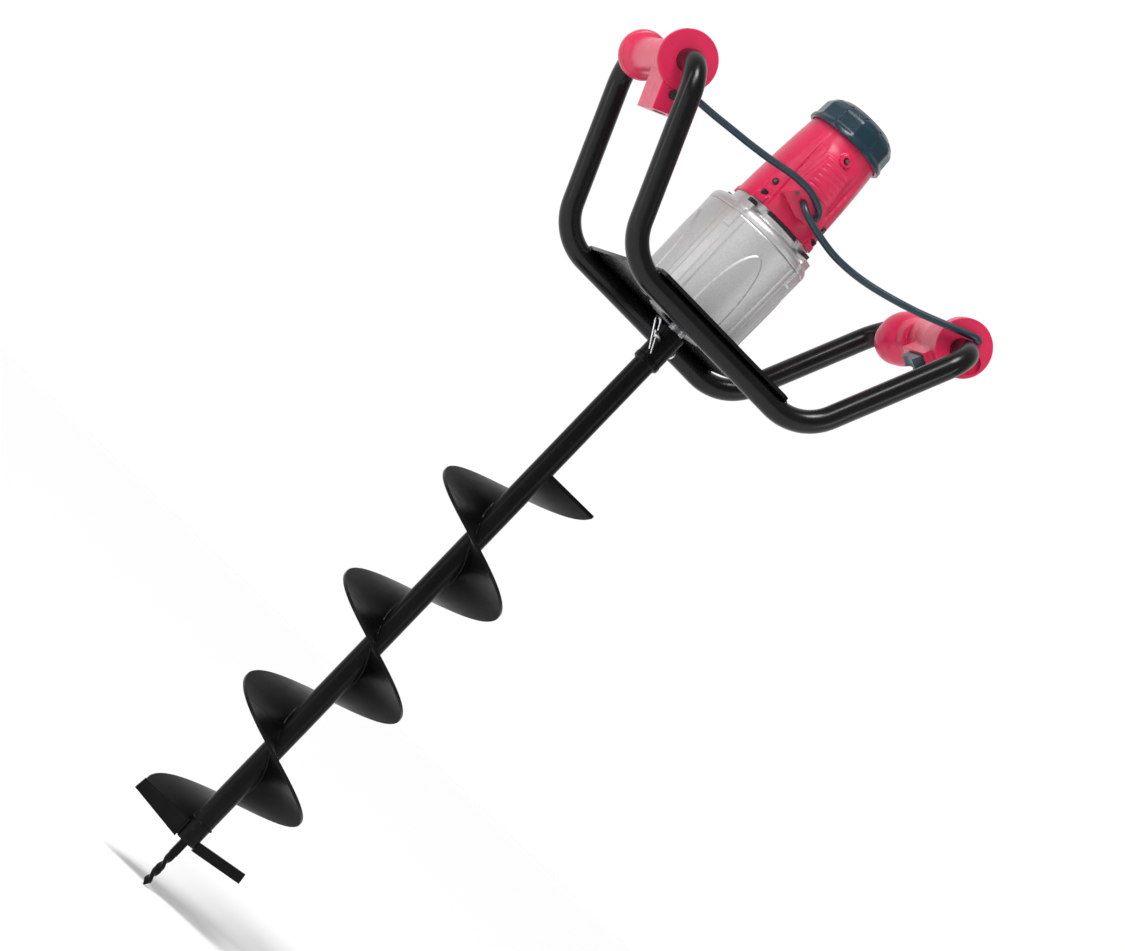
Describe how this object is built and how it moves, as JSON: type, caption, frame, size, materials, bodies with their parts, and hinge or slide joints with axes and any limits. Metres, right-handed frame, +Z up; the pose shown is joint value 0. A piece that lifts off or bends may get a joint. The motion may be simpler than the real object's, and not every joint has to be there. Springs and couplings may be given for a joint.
{
  "type": "electric earth auger",
  "caption": "Corded electric earth auger: motor and spur gearbox in a twin-tube frame with two grips, driving a helical soil bit with a twisted pilot point.",
  "frame": {"origin": "point of the pilot, on the bit's axis", "axes": "+Z up the bit's axis towards the motor, +X along the frame towards the trigger grip, -Y towards the front"},
  "size_m": [0.4976, 0.303, 1.11],
  "materials": {
    "black_powder": "gloss black powder coat",
    "black_bit": "black stove enamel",
    "black_fasteners": "blackened steel",
    "cast_alloy": "fine shot-blasted casting",
    "red_plastic": "moulded plastic with a fine grain",
    "navy_plastic": "moulded plastic, slightly glossy",
    "black_plastic": "moulded, matt",
    "black_rubber": "soft rubber",
    "lead_sheath": "smooth PVC sheath",
    "bright_zinc": "bright zinc plate",
    "screw_steel": "plated steel",
    "machined_steel": "ground steel",
    "lamination_steel": "stacked laminations",
    "copper": "enamelled copper",
    "brass": "drawn brass",
    "carbon": "pressed carbon"
  },
  "bodies": {
    "frame": {"handle_front": "black_powder", "handle_rear": "black_powder", "base_plate": "black_powder", "plate_bolts": "black_fasteners", "gearbox_case": "cast_alloy", "gearbox_cover": "cast_alloy", "gearbox_bolts": "black_fasteners", "motor_housing": "red_plastic", "motor_cap": "navy_plastic", "cable_block": "red_plastic", "block_screws": "screw_steel", "housing_screws": "screw_steel", "left_grip": "red_plastic", "switch_box": "red_plastic", "lock_switch": "black_plastic", "inlet_grommet": "black_rubber", "right_grip": "red_plastic", "trigger_pin": "screw_steel", "trigger_switch": "black_plastic", "lead_left": "lead_sheath", "lead_right": "lead_sheath", "lead_boots": "lead_sheath", "stator": "lamination_steel", "field_coils": "copper", "brush_holders": "brass", "brushes": "carbon", "bearing_bridge": "black_plastic", "armature_bearings": "machined_steel", "layshaft_bearings": "machined_steel", "output_bearings": "machined_steel", "output_seal": "black_rubber"},
    "bit": {"output_shaft": "machined_steel", "output_gear": "machined_steel", "output_circlip": "black_fasteners", "bit_collar": "black_bit", "clevis_pin": "bright_zinc", "pin_clip": "bright_zinc", "bit_tube": "black_bit", "flight_1": "black_bit", "flight_2": "black_bit", "flight_3": "black_bit", "flight_4": "black_bit", "bit_hub": "black_bit", "blade_left": "black_bit", "blade_right": "black_bit", "pilot_point": "black_bit"},
    "layshaft": {"layshaft": "machined_steel", "layshaft_gear": "machined_steel"},
    "armature": {"armature_core": "lamination_steel", "armature_windings": "copper", "commutator": "copper", "armature_shaft": "machined_steel", "cooling_fan": "black_plastic"},
    "trigger": {"right_trigger": "navy_plastic"},
    "button": {"lock_button": "black_plastic"}
  },
  "joints": [
    {"name": "auger_spin", "type": "hinge", "parent": "frame", "child": "bit", "pos_m": [0, 0, 0], "axis": [0, 0, 1], "continuous": true},
    {"name": "layshaft_spin", "type": "hinge", "parent": "frame", "child": "layshaft", "pos_m": [-0.004, 0.03175, 0], "axis": [0, 0, 1], "continuous": true},
    {"name": "armature_spin", "type": "hinge", "parent": "frame", "child": "armature", "pos_m": [-0.008, 0, 0], "axis": [0, 0, 1], "continuous": true},
    {"name": "trigger_pull", "type": "hinge", "parent": "frame", "child": "trigger", "pos_m": [0.2053, -0.062, 0.97805], "axis": [0.9147, 0, -0.4041], "range_deg": [0, 9], "stiffness_Nm_per_rad": 0.6, "springref_deg": -5.73},
    {"name": "lock_press", "type": "slide", "parent": "frame", "child": "button", "axis": [0, 1, 0], "range_m": [0, 0.002], "stiffness_N_per_m": 400, "springref_m": -0.001}
  ],
  "couplings": [
    {"joint": "layshaft_spin", "follows": "auger_spin", "ratio": -3},
    {"joint": "armature_spin", "follows": "auger_spin", "ratio": 13}
  ]
}
